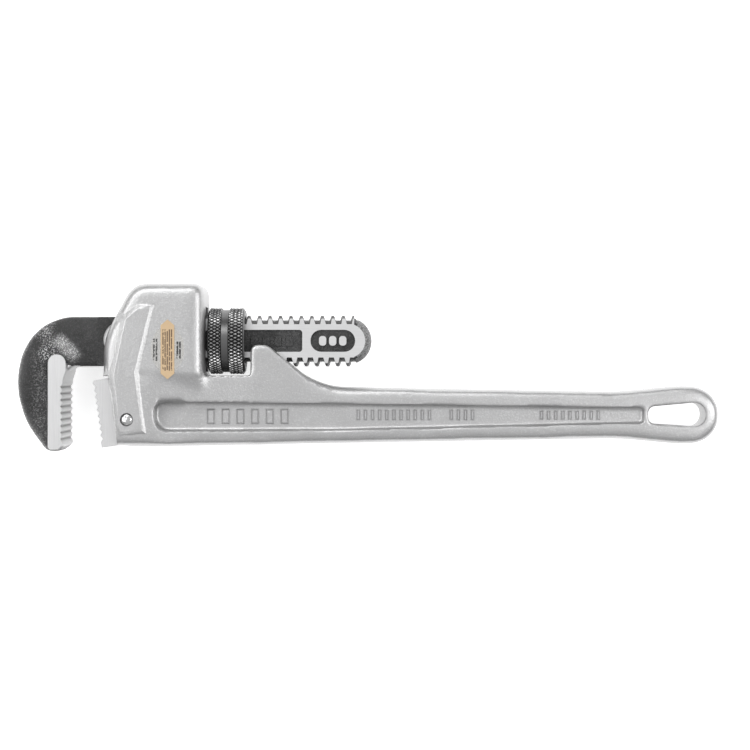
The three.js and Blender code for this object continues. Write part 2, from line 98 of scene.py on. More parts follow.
def pick(piece, kind, test):
    """Opens a piece in edit mode with the vertices, edges or faces selected that pass the test."""
    only(piece)
    points = points_of(piece)
    bpy.ops.object.mode_set(mode="EDIT")
    bpy.ops.mesh.select_mode(type={"vertices": "VERT", "edges": "EDGE", "polygons": "FACE"}[kind])
    bpy.ops.mesh.select_all(action="DESELECT")
    bpy.ops.object.mode_set(mode="OBJECT")
    if kind == "vertices":
        chosen = test(points)
    elif kind == "edges":
        ends = np.empty(len(piece.data.edges) * 2, int)
        piece.data.edges.foreach_get("vertices", ends)
        ends = ends.reshape(-1, 2)
        chosen = test(points[ends[:, 0]]) & test(points[ends[:, 1]])
    else:
        middles = np.empty(len(piece.data.polygons) * 3)
        piece.data.polygons.foreach_get("center", middles)
        normals = np.empty(len(piece.data.polygons) * 3)
        piece.data.polygons.foreach_get("normal", normals)
        middles = (middles.reshape(-1, 3) - np.array(shank_middle)) / MM
        chosen = test(middles, normals.reshape(-1, 3))
    getattr(piece.data, kind).foreach_set("select", chosen)
    bpy.ops.object.mode_set(mode="EDIT")
    return int(chosen.sum())


def pencil(name, x, y, z):
    """A new piece that is one vertex, open in edit mode."""
    bpy.ops.object.select_all(action="DESELECT")
    bpy.ops.mesh.primitive_plane_add(size=MM)
    piece = bpy.context.object
    piece.name = name
    piece.data.name = name
    bpy.ops.object.mode_set(mode="EDIT")
    bpy.ops.mesh.select_mode(type="VERT")
    bpy.ops.mesh.merge(type="CENTER")
    bpy.ops.transform.translate(value=at(x, y, z))
    return piece


def trace(corners):
    """Extrudes the pencil's vertex along a row of corners."""
    for here, there in zip(corners, corners[1:]):
        move = Vector((there[0] - here[0], there[1] - here[1], 0)) * MM
        bpy.ops.mesh.extrude_vertices_move(TRANSFORM_OT_translate={"value": move})


def draw(name, corners, z, steps=5):
    """A flat filled outline at height z from corners (x, y) or (x, y, radius)."""
    piece = pencil(name, corners[0][0], corners[0][1], z)
    trace(corners)
    bpy.ops.mesh.select_all(action="SELECT")
    bpy.ops.mesh.edge_face_add()
    bpy.ops.object.mode_set(mode="OBJECT")
    for i, corner in enumerate(corners):
        if len(corner) == 3:
            round_corner(piece, corner, corners[i - 1], corners[(i + 1) % len(corners)], steps)
    return piece


def round_corner(piece, corner, before, after, steps):
    """Rounds one drawn corner to its radius with the bevel tool."""
    x, y, radius = corner
    back = Vector((before[0] - x, before[1] - y)).normalized()
    ahead = Vector((after[0] - x, after[1] - y)).normalized()
    offset = radius / math.tan(back.angle(ahead) / 2)
    pick(piece, "vertices", lambda p: np.hypot(p[:, 0] - x, p[:, 1] - y) < 1e-3)
    bpy.ops.mesh.bevel(offset=offset * MM, segments=steps, affect="VERTICES", clamp_overlap=False)
    bpy.ops.object.mode_set(mode="OBJECT")


# %% [markdown]
# Once there is an outline, a plate is one extrude away, and its rims can be rounded with the
# bevel tool. Castings and forgings are then joined and cut with booleans, as a maker would weld,
# saw and drill.

# %% Plates, joins and cuts
def close_up(piece):
    """Turns all faces outwards and leaves edit mode."""
    bpy.ops.mesh.select_all(action="SELECT")
    bpy.ops.mesh.normals_make_consistent(inside=False)
    bpy.ops.object.mode_set(mode="OBJECT")
    return piece


def plate(name, corners, low, high, rim=0.0, rim_steps=3, steps=5):
    """A drawn outline raised into a plate from z = low to z = high, with rounded rims."""
    piece = draw(name, corners, low, steps)
    open_all(piece)
    rise = Vector((0, 0, (high - low) * MM))
    bpy.ops.mesh.extrude_region_move(TRANSFORM_OT_translate={"value": rise})
    close_up(piece)
    if rim:
        for level in (low, high):
            pick(piece, "edges", lambda p: np.abs(p[:, 2] - level) < 1e-3)
            bpy.ops.mesh.bevel(offset=rim * MM, segments=rim_steps, clamp_overlap=False)
            bpy.ops.object.mode_set(mode="OBJECT")
    return piece


def block(name, x, y, z):
    """A plain block for cutting and keeping, from its spans along x, y and z."""
    corners = [(x[0], y[0]), (x[1], y[0]), (x[1], y[1]), (x[0], y[1])]
    return plate(name, corners, z[0], z[1])


def combine(piece, tool, operation):
    """Joins, cuts or keeps with a boolean, and clears the tool away."""
    only(piece)
    boolean = piece.modifiers.new("boolean", "BOOLEAN")
    boolean.object = tool
    boolean.operation = operation
    boolean.solver = "MANIFOLD"
    bpy.ops.object.modifier_apply(modifier=boolean.name)
    if piece.modifiers:
        raise RuntimeError(f"{piece.name} or {tool.name} is not a closed solid")
    bpy.data.objects.remove(tool)
    return piece


def join(piece, *tools):
    """Welds tools onto a piece."""
    for tool in tools:
        combine(piece, tool, "UNION")
    return piece


def cut(piece, *tools):
    """Takes tools away from a piece."""
    for tool in tools:
        combine(piece, tool, "DIFFERENCE")
    return piece


def keep(piece, tool):
    """Keeps what lies inside a tool."""
    return combine(piece, tool, "INTERSECT")


def mirrored(tool):
    """A copy of a tool on the other side of the wrench, facing outwards again."""
    only(tool)
    bpy.ops.object.duplicate()
    copy = bpy.context.object
    bpy.ops.object.mode_set(mode="EDIT")
    bpy.ops.mesh.select_all(action="SELECT")
    bpy.ops.transform.resize(value=(1, 1, -1), center_override=shank_middle)
    return close_up(copy)


# %% [markdown]
# A casting has no sharp inside corner, because the sand would crumble there. Voxel remesh turns
# the joined plates into one even skin, and a few rounds of smoothing melt its corners the way
# that molten metal rounds them. A vertex group limits the melting where a blend is wider.

# %% Remesh, melt and thin out
def remesh(piece, voxel):
    """Gives a piece one even skin of square faces."""
    only(piece)
    skin = piece.modifiers.new("skin", "REMESH")
    skin.mode = "VOXEL"
    skin.voxel_size = voxel * MM
    bpy.ops.object.modifier_apply(modifier=skin.name)


def melt(piece, times, test=None):
    """Smooths a piece, all over or only where the test on its vertices passes."""
    only(piece)
    soften = piece.modifiers.new("soften", "SMOOTH")
    soften.factor = 0.5
    soften.iterations = times
    if test is not None:
        group = piece.vertex_groups.new(name="melted")
        pick(piece, "vertices", test)
        bpy.ops.object.vertex_group_assign()
        bpy.ops.object.mode_set(mode="OBJECT")
        soften.vertex_group = group.name
    bpy.ops.object.modifier_apply(modifier=soften.name)
    piece.vertex_groups.clear()


most_triangles = 190000


def thin_out(piece):
    """Brings a piece under most_triangles."""
    piece.data.calc_loop_triangles()
    count = len(piece.data.loop_triangles)
    if count > most_triangles:
        only(piece)
        fewer = piece.modifiers.new("fewer", "DECIMATE")
        fewer.ratio = most_triangles / count
        bpy.ops.object.modifier_apply(modifier=fewer.name)


def finish_piece(piece, body, node, angle=30, weighted=False):
    """Smooth shading with crisp edges, then the piece takes its node's place on its body."""
    only(piece)
    bpy.ops.object.shade_smooth_by_angle(angle=math.radians(angle))
    if weighted:
        flats = piece.modifiers.new("flats", "WEIGHTED_NORMAL")
        flats.keep_sharp = True
        bpy.ops.object.modifier_apply(modifier=flats.name)
    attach(piece, body)
    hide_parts(node)
    piece.data.calc_loop_triangles()
    low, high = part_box(node)
    points = points_of(piece)
    ours = np.concatenate([points.min(0), points.max(0)])
    theirs = np.array([*((low - shank_middle) / MM), *((high - shank_middle) / MM)])
    print(piece.name, len(piece.data.loop_triangles), "triangles, box less CAD box in mm:",
          [round(float(d), 2) for d in ours - theirs])


# %% [markdown]
# ## The handle casting
# Handle, fork and housing are one aluminium casting. The beam is drawn as a side view and raised
# into a plate, and two slanted bisects thin it evenly towards the end, as the pattern maker's
# draft does. The housing is a thicker plate with broad rounded shoulders.

# %% Beam and housing
handle_low, handle_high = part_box("handle")
cheek = (handle_high.z - handle_low.z) / 2 / MM
handle_end = (handle_high.x - shank_middle.x) / MM
housing_top = (handle_high.y - shank_middle.y) / MM
foot = -45.8
panel_height = 0.8
housing_half = cheek - panel_height
window_floor = -15.2
window = (-9.8, 9.9)
taper_start = 7.0
fork_half, end_half = 11.0, 8.5


def slope_cut(piece, start, height, end, end_height, side):
    """Slices a plate with a plane that slants from one height to another along the handle."""
    open_all(piece)
    normal = Vector((height - end_height, 0, side * (end - start))).normalized()
    bpy.ops.mesh.bisect(plane_co=at(start, 0, side * height), plane_no=normal,
                        use_fill=True, clear_outer=True)
    return close_up(piece)


beam = plate("beam", [
    (-45.0, foot, 2), (-30, foot - 0.2, 20), (52, -44.6), (170.6, -42.6, 80),
    (handle_end - 18, -45.1, 40), (handle_end, -45.1, 12.5), (handle_end, -19.7, 12.5),
    (handle_end - 18, -19.7, 40), (170.6, -22.2, 80), (52, -20.2), (38.9, -19.9, 31),
    (17.3, -1.8, 5), (9.9, -1.8, 2.4), (9.9, -15.2), (-45, -15.2),
], -fork_half, fork_half, steps=8)
for side in (1, -1):
    slope_cut(beam, taper_start, fork_half, handle_end, end_half, side)
housing = plate("housing", [
    (-56, -27), (-9.8, -27), (-9.8, housing_top, 4.2), (-40.6, housing_top, 9), (-53.5, 1, 24),
    (-53.5, -16.4), (-56, -16.4),
], -housing_half, housing_half, rim=4.5, rim_steps=6, steps=8)
column = plate("column", [
    (-56, -45.4), (18, -45.4), (18, -14), (-46, -14), (-46, -18), (-56, -18),
], -housing_half, housing_half, rim=3.4, rim_steps=4)
for side in (1, -1):
    slope_cut(column, -34, housing_half, 16, fork_half - 0.6, side)
    open_all(housing)
    slant = Vector((0, 12.2 - housing_half, side * 13)).normalized()
    bpy.ops.mesh.bisect(plane_co=at(0, -14, side * housing_half), plane_no=slant,
                        use_fill=True, clear_outer=True)
    close_up(housing)
join(housing, column)
casting = join(beam, housing)
casting.name = "handle_casting"
print("casting", [round(s, 4) for s in casting.dimensions])

# %% [markdown]
# The rims of the beam are rounded like a thumb. Bevelling them on a slanted plate is fiddly, so
# the skin is remeshed once and melted there, in three rounds that each start further along, so
# the flanges grow round little by little. The step from the housing to the beam is melted on its
# own, because that blend is several millimetres wide.

# %% First skin
remesh(casting, 0.7)
melt(casting, 14)
for start in (34, 39, 44):
    melt(casting, 42, lambda p: (p[:, 0] > start) | (p[:, 1] < -36.5) & (p[:, 0] > start - 58))


def zone(p, x, y, beyond=0):
    """True where a point lies between two x, between two y and further out than beyond."""
    level = (p[:, 0] > x[0]) & (p[:, 0] < x[1]) & (p[:, 1] > y[0]) & (p[:, 1] < y[1])
    return level & (np.abs(p[:, 2]) > beyond)


melt(casting, 60, lambda p: zone(p, (-38, 20), (-43, -15), 8))
melt(casting, 36, lambda p: (p[:, 1] > -12) & (p[:, 0] < -8))
print("skin", len(casting.data.polygons), "faces")

# %% [markdown]
# Now the openings that the mould gives: the window for the nut, the fork, the long channel on
# each side and the slot in the end for hanging the wrench up. The channel's cutter is a plate
# with bevelled lower edges, bisected along the beam's taper so that its depth stays the same.

# %% Window, fork, channel and hanging slot
channel_depth = 2.6


def channel_floor(x):
    """The height of the channel's floor at a place along the handle."""
    taper = (fork_half - end_half) / (handle_end - taper_start)
    return fork_half - channel_depth - (x - taper_start) * taper


def channel_tool():
    """The cutter of one channel, with bevelled lower edges."""
    tool = plate("channel", [
        (-31.4, -39.4, 6), (-31.4, -26.5, 4), (181.2, -29.1, 1.5), (181.2, -35.9, 1.5), (52, -39.0),
    ], 0, 24, steps=6)
    open_all(tool)
    slant = Vector((fork_half - end_half, 0, handle_end - taper_start)).normalized()
    bpy.ops.mesh.bisect(plane_co=at(taper_start, 0, fork_half - channel_depth), plane_no=slant,
                        use_fill=True, clear_inner=True)
    close_up(tool)
    pick(tool, "edges", lambda p: np.abs(p[:, 2] - channel_floor(p[:, 0])) < 0.02)
    bpy.ops.mesh.bevel(offset=0.9 * MM, segments=1, clamp_overlap=False)
    return close_up(tool)


near_channel = channel_tool()
far_channel = mirrored(near_channel)
hang_slot = plate("hang slot", [
    (handle_end - 31.5, -36.1, 3), (handle_end - 6.4, -37.7, 5), (handle_end - 6.4, -26.6, 5),
    (handle_end - 31.5, -28.8, 3),
], -20, 20, steps=8)
window_tool = block("window tool", window, (window_floor, 40), (-30, 30))
fork_tool = block("fork tool", (0, 150), (window_floor, 20), (-6, 6))
cut(casting, near_channel, far_channel, hang_slot, window_tool, fork_tool)
print("cut casting", len(casting.data.polygons), "faces")

# %% [markdown]
# A finer skin softens the new edges a little, as the mould does. The channel's upper left corner
# is melted far more: there the real casting rises to the flange like the bowl of a spoon, while
# the rim below it stays crisp.

# %% Second skin
remesh(casting, 0.55)
melt(casting, 3)
melt(casting, 110, lambda p: zone(p, (-30, -18), (-34.5, -22.5), 7))
print("second skin", len(casting.data.polygons), "faces")

# %% [markdown]
# A raised panel on each cheek takes the load behind the heel jaw. It is drawn, raised, and its
# top inset and lifted in one go, which leaves a sloping border all round. It is joined after the
# last melting, so its borders stay crisp.

# %% Cheek panels
panel_root = 3
panel_edge = 1.4


def cheek_panel():
    """The raised panel of one cheek. Its sloping border starts below the casting's skin."""
    panel = draw("panel", [
        (-52.8, -14.6), (-49.6, -44.2), (-31.8, -42.4), (-35.3, -14.2), (-27.8, 17.9),
        (-39.6, 17.9), (-47.3, 11.2, 5),
    ], housing_half - panel_root)
    open_all(panel)
    rise = Vector((0, 0, (panel_root - panel_edge) * MM))
    bpy.ops.mesh.extrude_region_move(TRANSFORM_OT_translate={"value": rise})
    close_up(panel)
    pick(panel, "polygons", lambda m, n: np.abs(m[:, 2] - housing_half + panel_edge) < 1e-3)
    bpy.ops.mesh.inset(thickness=4.3 * MM, depth=(cheek - housing_half + panel_edge) * MM)
    close_up(panel)
    pick(panel, "edges", lambda p: np.abs(p[:, 2] - cheek) < 1e-3)
    bpy.ops.mesh.bevel(offset=0.25 * MM, segments=2, clamp_overlap=False)
    return close_up(panel)


near_panel = cheek_panel()
far_panel = mirrored(near_panel)
join(casting, near_panel, far_panel)

# %% [markdown]
# The makers raise their words in the channel. Words are left out here, and plain raised bars
# take their places: broad ones near the housing and rows of small ones along the handle.

# %% Raised bars in the channel
bar_rise = 0.95
bar_root = 1


def bars(first, last, gap, width, low, high):
    """A row of upright bars on the channel's floor, set gap apart from left to right."""
    count = int((last - first - width) / gap) + 1
    made = []
    for k in range(count):
        x = first + k * gap
        corners = [(x, low), (x + width, low), (x + width, high), (x, high)]
        floor = channel_floor(x)
        made.append(plate("bar", corners, floor - bar_root, floor + bar_rise,
                          rim=min(0.75, width * 0.35), rim_steps=1))
    return made


raised = []
raised += bars(-9.1, 29.3, 6.4, 3.6, -36.3, -29.6)
raised += bars(56.1, 88.7, 3.1, 1.5, -34.6, -30.0)
raised += bars(96.6, 108.1, 3.1, 1.5, -34.6, -30.0)
raised += bars(136.0, 164.7, 3.1, 1.5, -34.4, -30.5)
for bar in raised:
    twin = mirrored(bar)
    join(casting, bar, twin)
print(len(raised), "bars on each side")

# %% [markdown]
# The last cuts are machined into the casting, so their edges stay crisp: the slot for the shank,
# the pocket for the coil spring, the seat of the heel jaw and the hole for its pin.

# %% Machined slot, pocket, seat and pin hole
lean_angle = math.radians(7.8)
heel_top = (-58.1, -17.3)
slot_half = 6.8
jaw_half = 14
pin_radius = 2.8


def leaned(x, y):
    """A point given on the upright heel jaw, leaned and put in its place."""
    c, s = math.cos(lean_angle), math.sin(lean_angle)
    return heel_top[0] + x * c - y * s, heel_top[1] + x * s + y * c


pin_x, pin_y = leaned(12.8, -18.8)
shank_slot = block("shank slot", (-60, 0), (-13.47, 14.8), (-slot_half, slot_half))
seat = plate("seat", [leaned(-20, -49.4), leaned(7.2, -49.4), leaned(7.2, 1.3), leaned(-20, 1.3)],
             -30, 30)
tongue_seat = plate("tongue seat", [
    leaned(5.9, -26.3), (*leaned(19.7, -26.3), 2.5), (*leaned(19.7, -2.9), 2.5), leaned(5.9, -2.9),
], -slot_half, slot_half)


def rod(name, x, y, z, radius, length, axis, sides=40):
    """A round bar for drilling, along z or y."""
    turn = (0, 0, 0) if axis == "z" else (math.pi / 2, 0, 0)
    bpy.ops.object.select_all(action="DESELECT")
    bpy.ops.mesh.primitive_cylinder_add(vertices=sides, radius=radius * MM, depth=length * MM,
                                        location=at(x, y, z), rotation=turn)
    tool = bpy.context.object
    tool.name = name
    bpy.ops.object.transform_apply(location=True, rotation=True, scale=True)
    return tool


pin_hole = rod("pin hole", pin_x, pin_y, 0, pin_radius + 0.05, 2 * cheek + 2, "z")
pocket = rod("pocket", -30, 10.9, 0, 4.46, 21.8, "y")
cut(casting, shank_slot, pocket, seat, tongue_seat, pin_hole)
thin_out(casting)
finish_piece(casting, "handle", "handle", 40, weighted=True)

# %% [markdown]
# ## The hook jaw forging
# The hook is a thick forged head on a thinner neck. Two plates of the same side view, one thick
# and one thin, are joined and remeshed, and the step between them is melted into the long
# hollow that a forging die leaves.

# %% Head and neck
neck_half = 6.3
head_half = 13


def hook_view(right):
    """The side view of the hook, with its neck drawn as far as right."""
    return [
        (right, 10.5), (-74.9, 10.5, 20), (-88.5, 0.3, 24), (-92.4, -19.6, 30), (-87.9, -35.5, 28),
        (-78.8, -48.1, 4), (-73.5, -48.1), (-71, -45.5), (-71, -11.2, 5.6), (right, -10.8),
    ]


neck = plate("neck", hook_view(-22), -neck_half, neck_half, steps=9)
head = plate("head", hook_view(-22), -head_half, head_half, rim=5, rim_steps=5, steps=9)
for side in (1, -1):
    open_all(head)
    hollow = Vector((1, 0.4, side * 2.4)).normalized()
    bpy.ops.mesh.bisect(plane_co=at(-83.6, -4, side * head_half), plane_no=hollow,
                        use_fill=True, clear_outer=True)
    close_up(head)
keep(head, block("head end", (-97, -60), (-60, 20), (-20, 20)))
hook = join(neck, head)
hook.name = "hook_jaw_forging"
remesh(hook, 0.55)
melt(hook, 12)
melt(hook, 60, lambda p: zone(p, (-84, -57), (-14, 20), 4.6))
print("forging", len(hook.data.polygons), "faces")

# %% [markdown]
# A milled strip carries the hook's teeth, and it stands a little proud of the forging on both
# sides. Its side view has the teeth drawn into it: one notch every 2.81 mm.

# %% Toothed strip
tooth_pitch = 2.81
tooth_depth = 1.0
hook_face = -71.0
teeth_top = -18.75


def notches(count, x, y):
    """The corners of a row of V notches down a face, which lies at x and starts at y."""
    corners = []
    for k in range(count):
        corners.append((x, y - k * tooth_pitch))
        corners.append((x + tooth_depth, y - (k + 0.5) * tooth_pitch))
    corners.append((x, y - count * tooth_pitch))
    return corners


hook_teeth = [(2 * hook_face - x, y) for x, y in notches(9, hook_face, teeth_top)]
strip = plate("strip", [
    (-77.5, -6, 3.9), (-77.5, -47.3, 1.5), (-73.2, -47.3), (hook_face, -45.1),
    *reversed(hook_teeth), (hook_face, -17.3), (-69.7, -13.2), (-69.7, -6, 3.9),
], -jaw_half, jaw_half, rim=0.15, rim_steps=1, steps=8)
relief = plate("relief", [
    (hook_face + 3, -46.4), (hook_face, -46.4), *reversed(hook_teeth), (hook_face + 3, teeth_top),
], -15, 15)
cut(hook, relief)
join(hook, strip)
print("strip", len(hook_teeth), "corners down the teeth")

# %% [markdown]
# ## The threaded shank
# The thread is one ridge wound round a core. The Screw modifier sweeps the ridge's section round
# the shank's axis while it moves along by the pitch, which is how a lathe cuts it. The shank's
# sides are then milled flat, so that the thread is left on its top and bottom only.

# %% Wind the thread
pitch = 4.6
crest, root = 11.2, 9.13
thread_phase = 8.72


def threaded(name, start, end, grow=0.0, flank=0.0):
    """A closed threaded bar on the shank's axis, wider by grow and flank for a tapped hole."""
    turns = math.ceil((end - start) / pitch) + 3
    first = thread_phase + pitch * (math.floor((start - thread_phase) / pitch) - 1)
    section = [(-1.5, root - 1), (-1.23 - flank, root + grow), (-0.72 - flank, crest - 0.35 + grow),
               (-0.45 - flank, crest + grow), (0.45 + flank, crest + grow),
               (0.72 + flank, crest - 0.35 + grow), (1.23 + flank, root + grow), (1.5, root - 1)]
    ridge = draw(name, [(first + x, y) for x, y in section], 0)
    only(ridge)
    wind = ridge.modifiers.new("wind", "SCREW")
    wind.axis = "X"
    wind.object = turning_centre
    wind.screw_offset = pitch * MM
    wind.iterations = turns
    wind.steps = wind.render_steps = 48
    wind.use_merge_vertices = True
    wind.merge_threshold = 1e-6
    bpy.ops.object.modifier_apply(modifier=wind.name)
    bpy.ops.object.mode_set(mode="EDIT")
    bpy.ops.mesh.select_all(action="DESELECT")
    bpy.ops.mesh.select_mode(type="EDGE")
    bpy.ops.mesh.select_non_manifold()
    bpy.ops.mesh.edge_face_add()
    close_up(ridge)
    core = bar_along("core", first - 1, first + turns * pitch + 1, root + grow)
    join(core, ridge)
    return keep(core, block("length", (start, end), (-20, 20), (-20, 20)))


def bar_along(name, start, end, radius, sides=48):
    """A round bar along the shank's axis."""
    bpy.ops.object.select_all(action="DESELECT")
    bpy.ops.mesh.primitive_cylinder_add(
        vertices=sides, radius=radius * MM, depth=(end - start) * MM,
        location=at((start + end) / 2, 0, 0), rotation=(0, math.pi / 2, 0))
    bar = bpy.context.object
    bar.name = name
    bpy.ops.object.transform_apply(location=True, rotation=True, scale=True)
    return bar


bpy.ops.object.select_all(action="DESELECT")
bpy.ops.object.empty_add(location=shank_middle)
turning_centre = bpy.context.object
thread = threaded("thread", -23, 62.6)
print("thread", len(thread.data.polygons), "faces", [round(s, 4) for s in thread.dimensions])

# %% [markdown]
# Milling the flats is the same as keeping only what lies between two planes, so the threaded bar
# is kept inside a flat block. A spun disc is joined to the block to give the domed nose. A round
# cutter then leaves the half-moon where the milling ends at the neck.

# %% Mill the flats and shape the nose
shank_half = 5.5
nose_x = 52.3


def lathe_z(name, x, y, profile, steps):
    """Spins a profile of (radius, z) points round an upright axis at x, y."""
    piece = pencil(name, x + profile[0][0], y, profile[0][1])
    for here, there in zip(profile, profile[1:]):
        move = Vector((there[0] - here[0], 0, there[1] - here[1])) * MM
        bpy.ops.mesh.extrude_vertices_move(TRANSFORM_OT_translate={"value": move})
    bpy.ops.mesh.select_all(action="SELECT")
    bpy.ops.mesh.spin(steps=steps, angle=2 * math.pi, center=at(x, y), axis=(0, 0, 1))
    bpy.ops.mesh.select_all(action="SELECT")
    bpy.ops.mesh.remove_doubles(threshold=1e-6)
    return close_up(piece)


nose = lathe_z("nose", nose_x, 0, [
    (0, -shank_half), (7.5, -shank_half), (8.5, -4.9), (9.4, -3.6), (10.0, -2.0), (10.3, -0.4),
    (10.3, 0.4), (10.0, 2.0), (9.4, 3.6), (8.5, 4.9), (7.5, shank_half), (0, shank_half),
], 48)
flats = block("flats", (-24, nose_x + 2.7), (-20, 20), (-shank_half, shank_half))
keep(thread, join(flats, nose))
join(hook, thread)
mill_run = block("mill run", (-46.6, 64), (-20, 20), (shank_half, 15))
mill_end = rod("mill end", -46.6, 0.5, shank_half + 5, 8, 10, "z", 48)
mill = join(mill_run, mill_end)
far_mill = mirrored(mill)
cut(hook, mill, far_mill)
print("shank milled to", 2 * shank_half, "mm")

# %% [markdown]
# Two recesses are sunk in each side of the shank. On the real one they hold raised words, so
# plain raised bars stand in for the words here.

# %% Recesses and their bars
recess_depth = 0.9


def recess(span, radius):
    """The cutter of one recess, between two places along the shank."""
    corners = [(span[0], -4.8, radius), (span[1], -4.8, radius), (span[1], 4.8, radius),
               (span[0], 4.8, radius)]
    return plate("recess", corners, shank_half - recess_depth, shank_half + 1, steps=8)


for tool in (recess((-10, 32.3), 1.3), recess((35.9, 55.4), 4.7)):
    twin = mirrored(tool)
    cut(hook, tool, twin)


def mark(x, low, width, high, radius, top, **rim):
    """One bar on the floor of a recess, from its left end x and its width."""
    corners = [(x, low, radius), (x + width, low, radius), (x + width, high, radius),
               (x, high, radius)]
    return plate("mark", corners, shank_half - 1.2, top, **rim)


marks = [mark(-0.5 + k * 5.1, -2.6, 3.4, 2.3, 0.8, shank_half - 0.45, rim=0.2, rim_steps=1, steps=3)
         for k in range(6)]
marks += [mark(39.6 + k * 4.4, -2.1, 3.2, 2.1, 1.3, shank_half - 0.05, steps=4) for k in range(3)]
for bar in marks:
    twin = mirrored(bar)
    join(hook, bar, twin)
thin_out(hook)
finish_piece(hook, "hook_jaw", "hook_jaw", 35, weighted=True)

# %% [markdown]
# ## The knurled adjusting nut
# The nut is turned first: its section is spun round the shank's axis in 57 steps. Then the
# knurl is pressed into the turned faces, and a threaded bar that is a little wider than
# the shank taps its hole.

# %% Turn the nut
nut_section = [
    (-8.7, 10.5), (-8.7, 13.2), (-8.2, 14.0), (-5.45, 14.0), (-2.75, 14.0), (-2.6, 13.7),
    (0.2, 13.7), (0.35, 14.0), (3.55, 14.0), (6.75, 14.0), (7.3, 13.2), (7.3, 10.5),
]
knurl_count = 57
nut = pencil("knurled_nut", nut_section[0][0], nut_section[0][1], 0)
trace(nut_section + nut_section[:1])
bpy.ops.mesh.select_all(action="SELECT")
bpy.ops.mesh.remove_doubles(threshold=1e-6)
bpy.ops.mesh.select_all(action="SELECT")
bpy.ops.mesh.spin(steps=knurl_count, angle=2 * math.pi, center=shank_middle, axis=(1, 0, 0))
bpy.ops.mesh.select_all(action="SELECT")
bpy.ops.mesh.remove_doubles(threshold=1e-6)
close_up(nut)
print("turned nut", len(nut.data.polygons), "faces")

# %% [markdown]
# Now the knurl. The points of the turned grid are remembered, the faces of both bands are poked,
# and the old lines inside the bands are dissolved. That leaves a net of lozenges, and poking
# each one outwards makes it a small pyramid.

# %% Press the knurl
def on_knurl(p):
    """True where a point lies on one of the two knurled bands."""
    far_out = np.hypot(p[:, 1], p[:, 2]) > 13.9
    return far_out & (((p[:, 0] > -8.25) & (p[:, 0] < -2.7)) | ((p[:, 0] > 0.3) & (p[:, 0] < 6.8)))


grid_points = points_of(nut)
grid_points = grid_points[on_knurl(grid_points)]
pick(nut, "polygons", lambda m, n: on_knurl(m))
bpy.ops.mesh.poke()
bpy.ops.object.mode_set(mode="OBJECT")
points = points_of(nut)
ends = np.empty(len(nut.data.edges) * 2, int)
nut.data.edges.foreach_get("vertices", ends)
ends = ends.reshape(-1, 2)
from_grid = np.zeros(len(points), bool)
for g in grid_points:
    from_grid |= np.abs(points - g).max(1) < 1e-3
both = from_grid[ends[:, 0]] & from_grid[ends[:, 1]]
middle = (points[ends[:, 0]] + points[ends[:, 1]]) / 2
inside = both & ~np.isin(np.round(middle[:, 0], 2), [-8.2, -2.75, 0.35, 6.75])
only(nut)
bpy.ops.object.mode_set(mode="EDIT")
bpy.ops.mesh.select_mode(type="EDGE")
bpy.ops.mesh.select_all(action="DESELECT")
bpy.ops.object.mode_set(mode="OBJECT")
nut.data.edges.foreach_set("select", inside)
bpy.ops.object.mode_set(mode="EDIT")
bpy.ops.mesh.dissolve_edges(use_verts=False)
bpy.ops.object.mode_set(mode="OBJECT")
lozenges = pick(nut, "polygons", lambda m, n: on_knurl(m))
bpy.ops.mesh.poke(offset=0.6 * MM)
close_up(nut)
print(lozenges, "lozenges, radius", round(float(np.hypot(*points_of(nut)[:, 1:].T).max()), 2))
cut(nut, threaded("tap", -10, 9, 0.2, 0.15))
finish_piece(nut, "adjusting_nut", "adjusting_nut", 12)

# %% [markdown]
# ## The heel jaw and its pin
# The heel jaw is a milled block with nine teeth, leaning a little, on a tongue that sits in the
# casting. One side view holds its teeth, and its rims get a fine machined chamfer.

# %% Heel jaw
upright_teeth = notches(9, 0, -1.6)
heel_view = [leaned(0, -29.4), leaned(6.5, -29.4), leaned(6.9, -29.0), leaned(6.9, 0),
             leaned(0.6, 0), leaned(0, -0.6), *[leaned(x, y) for x, y in upright_teeth]]
heel = plate("heel_jaw_block", heel_view, -jaw_half, jaw_half, rim=0.12, rim_steps=1)
tongue = plate("tongue", [
    leaned(5.9, -26), (*leaned(19.4, -26), 2.5), (*leaned(19.4, -3.2), 2.5), leaned(5.9, -3.2),
], -6.5, 6.5)
join(heel, tongue)
cut(heel, rod("heel hole", pin_x, pin_y, 0, pin_radius + 0.1, 30, "z"))
finish_piece(heel, "handle", "heel_jaw", 30)

# %% [markdown]
# The pin is headed over on both sides, so its ends are low domes. Its profile is spun round the
# pin's own axis.

# %% Pin
pin_low, pin_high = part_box("heel_jaw_pin")
pin_half = (pin_high.z - pin_low.z) / 2 / MM
dome = [(pin_radius, 1.1), (2.65, 0.72), (2.2, 0.4), (1.6, 0.18), (0.8, 0.04), (0, 0)]
pin_profile = [(0, -pin_half)] + [(r, -pin_half + d) for r, d in dome[-2::-1]] \
    + [(r, pin_half - d) for r, d in dome]
pin = lathe_z("heel_jaw_rivet", pin_x, pin_y, pin_profile, 32)
finish_piece(pin, "handle", "heel_jaw_pin", 40)

# %% [markdown]
# ## The label
# A clear oval film carries a tan printed panel. The maker's words are left out, and the print
# keeps only plain rows of short dashes. The film is a thin oval sheet with its rim bevelled.

